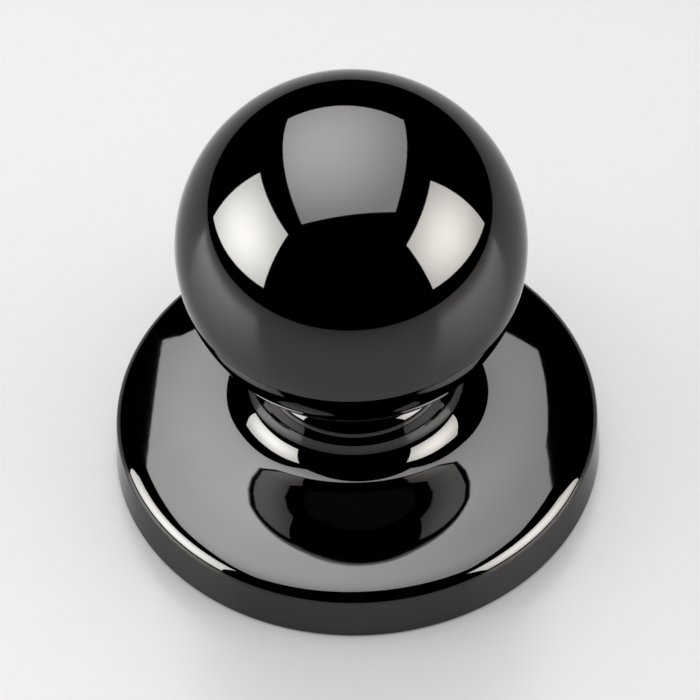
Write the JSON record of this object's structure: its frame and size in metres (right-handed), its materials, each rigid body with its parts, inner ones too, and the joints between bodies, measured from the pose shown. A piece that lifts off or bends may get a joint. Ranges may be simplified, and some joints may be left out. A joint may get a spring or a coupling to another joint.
{
  "type": "ball knob",
  "caption": "Polished ball knob on a short collared neck and a round domed foot, tapped underneath for a machine screw.",
  "frame": {"origin": "centre of the seat, the flat ring under the foot that rests on the door or drawer front", "axes": "+Z along the knob's axis, from the seat to the top of the ball; turned about Z, so X and Y are alike"},
  "size_m": [0.035, 0.035, 0.035],
  "materials": {
    "black_nickel": "mirror-polished black nickel plating on a zinc casting"
  },
  "bodies": {
    "root": {"knob": "black_nickel"}
  },
  "joints": []
}
